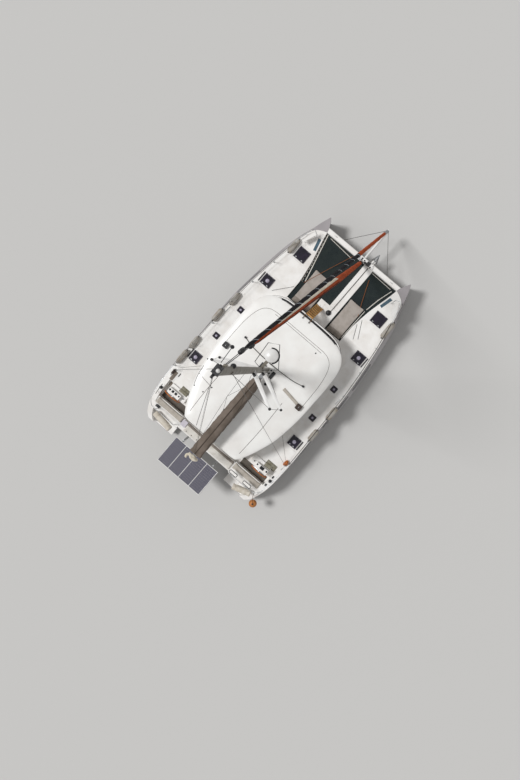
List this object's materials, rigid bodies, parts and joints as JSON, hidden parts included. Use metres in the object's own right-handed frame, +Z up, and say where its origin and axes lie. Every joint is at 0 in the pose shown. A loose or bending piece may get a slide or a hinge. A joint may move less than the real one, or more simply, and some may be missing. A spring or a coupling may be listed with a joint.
{
  "type": "sailing catamaran",
  "caption": "Cruising catamaran with a cabin on the bridgedeck, sloop rig with furled sails, bow nets and a wheel in each hull.",
  "frame": {"origin": "on the waterline, midships, on the centreline", "axes": "+X to the bow, +Y to port, +Z up"},
  "size_m": [14.05, 6.9516, 19.91],
  "materials": {
    "gelcoat_white": "glossy moulded gelcoat",
    "topsides_gray": "glossy light gray gelcoat",
    "antifouling": "matt underwater paint",
    "tinted_glass": "dark tinted glazing",
    "hatch_acrylic": "dark tinted acrylic",
    "net_mesh": "knotless netting",
    "pad_fabric": "coated outdoor fabric",
    "sail_canvas": "acrylic canvas",
    "uv_strip": "sacrificial sail strip",
    "black_sail": "wound black laminate",
    "spar_alloy": "anodised",
    "stainless": "polished",
    "bronze": "cast",
    "wheel_leather": "stitched tan leather",
    "solar_cells": "laminated cells",
    "teak": "oiled teak",
    "drive_paint": "painted",
    "windlass_black": "black cover"
  },
  "bodies": {
    "root": {"side_deck_port": "gelcoat_white", "side_deck_starboard": "gelcoat_white", "quarter_port": "gelcoat_white", "quarter_starboard": "gelcoat_white", "bridgedeck": "gelcoat_white", "cabin_walls": "gelcoat_white", "aft_bulkhead": "gelcoat_white", "roof": "gelcoat_white", "crossbeam": "gelcoat_white", "longeron": "gelcoat_white", "cockpit_table": "gelcoat_white", "hull_port": "topsides_gray", "hull_starboard": "topsides_gray", "keel_port": "antifouling", "keel_starboard": "antifouling", "cabin_glazing": "tinted_glass", "net_port": "net_mesh", "net_starboard": "net_mesh", "sun_pad_port": "pad_fabric", "sun_pad_starboard": "pad_fabric", "helm_seat_port": "pad_fabric", "helm_seat_starboard": "pad_fabric", "aft_bench_cushion": "pad_fabric", "genoa_furled": "uv_strip", "code_sail_furled": "black_sail", "mast": "spar_alloy", "bowsprit": "spar_alloy", "davits": "spar_alloy", "cap_shroud_port": "stainless", "cap_shroud_starboard": "stainless", "guard_rail_port": "stainless", "guard_rail_starboard": "stainless", "anchor": "stainless", "solar_panels": "solar_cells", "roof_ladder": "teak", "saloon_furniture": "teak", "saildrive_port": "drive_paint", "saildrive_starboard": "drive_paint", "engine_port": "drive_paint", "engine_starboard": "drive_paint", "windlass": "windlass_black", "winch_port": "windlass_black", "winch_starboard": "windlass_black"},
    "rudder_port_body": {"rudder_port": "antifouling"},
    "wheel_port_body": {"steering_wheel_port": "wheel_leather"},
    "propeller_port_body": {"propeller_port": "bronze"},
    "rudder_starboard_body": {"rudder_starboard": "antifouling"},
    "wheel_starboard_body": {"steering_wheel_starboard": "wheel_leather"},
    "propeller_starboard_body": {"propeller_starboard": "bronze"},
    "boom_body": {"boom": "spar_alloy", "sail_bag": "sail_canvas"},
    "door_body": {"saloon_door": "tinted_glass"},
    "bow_hatch_port_body": {"bow_hatch_port": "hatch_acrylic"},
    "bow_hatch_starboard_body": {"bow_hatch_starboard": "hatch_acrylic"},
    "cabin_hatch_port_body": {"cabin_hatch_port": "hatch_acrylic"},
    "cabin_hatch_starboard_body": {"cabin_hatch_starboard": "hatch_acrylic"},
    "aft_hatch_port_body": {"aft_hatch_port": "hatch_acrylic"},
    "aft_hatch_starboard_body": {"aft_hatch_starboard": "hatch_acrylic"}
  },
  "joints": [
    {"name": "boom_swing", "type": "hinge", "parent": "root", "child": "boom_body", "pos_m": [-0.95, 0, 3.41], "axis": [0, 0, 1], "range_deg": [-45, 45]},
    {"name": "rudder_port_turn", "type": "hinge", "parent": "root", "child": "rudder_port_body", "pos_m": [-5.33, 2.41, -0.2], "axis": [0, 0, 1], "range_deg": [-35, 35]},
    {"name": "wheel_port_turn", "type": "hinge", "parent": "root", "child": "wheel_port_body", "pos_m": [-4.43, 2.52, 1.56], "axis": [1, 0, 0], "range_deg": [-350, 350]},
    {"name": "propeller_port_spin", "type": "hinge", "parent": "root", "child": "propeller_port_body", "pos_m": [-4.68, 2.44, -0.8], "axis": [1, 0, 0], "continuous": true},
    {"name": "rudder_starboard_turn", "type": "hinge", "parent": "root", "child": "rudder_starboard_body", "pos_m": [-5.33, -2.41, -0.2], "axis": [0, 0, 1], "range_deg": [-35, 35]},
    {"name": "wheel_starboard_turn", "type": "hinge", "parent": "root", "child": "wheel_starboard_body", "pos_m": [-4.43, -2.52, 1.56], "axis": [1, 0, 0], "range_deg": [-350, 350]},
    {"name": "propeller_starboard_spin", "type": "hinge", "parent": "root", "child": "propeller_starboard_body", "pos_m": [-4.68, -2.44, -0.8], "axis": [1, 0, 0], "continuous": true},
    {"name": "saloon_door_slide", "type": "slide", "parent": "root", "child": "door_body", "axis": [0, -1, 0], "range_m": [0, 0.86]},
    {"name": "bow_hatch_port_lift", "type": "hinge", "parent": "root", "child": "bow_hatch_port_body", "pos_m": [4.24, 2.175, 1.5175], "axis": [0, 1, 0], "range_deg": [0, 80]},
    {"name": "bow_hatch_starboard_lift", "type": "hinge", "parent": "root", "child": "bow_hatch_starboard_body", "pos_m": [4.24, -2.175, 1.5175], "axis": [0, 1, 0], "range_deg": [0, 80]},
    {"name": "cabin_hatch_port_lift", "type": "hinge", "parent": "root", "child": "cabin_hatch_port_body", "pos_m": [2.39, 2.5975, 1.5175], "axis": [0, 1, 0], "range_deg": [0, 80]},
    {"name": "cabin_hatch_starboard_lift", "type": "hinge", "parent": "root", "child": "cabin_hatch_starboard_body", "pos_m": [2.39, -2.5975, 1.5175], "axis": [0, 1, 0], "range_deg": [0, 80]},
    {"name": "aft_hatch_port_lift", "type": "hinge", "parent": "root", "child": "aft_hatch_port_body", "pos_m": [-2.2, 2.855, 1.5175], "axis": [0, 1, 0], "range_deg": [0, 80]},
    {"name": "aft_hatch_starboard_lift", "type": "hinge", "parent": "root", "child": "aft_hatch_starboard_body", "pos_m": [-2.2, -2.855, 1.5175], "axis": [0, 1, 0], "range_deg": [0, 80]}
  ],
  "couplings": [
    {"joint": "wheel_port_turn", "follows": "rudder_port_turn", "ratio": 10},
    {"joint": "wheel_starboard_turn", "follows": "rudder_port_turn", "ratio": 10},
    {"joint": "rudder_starboard_turn", "follows": "rudder_port_turn", "ratio": 1}
  ]
}
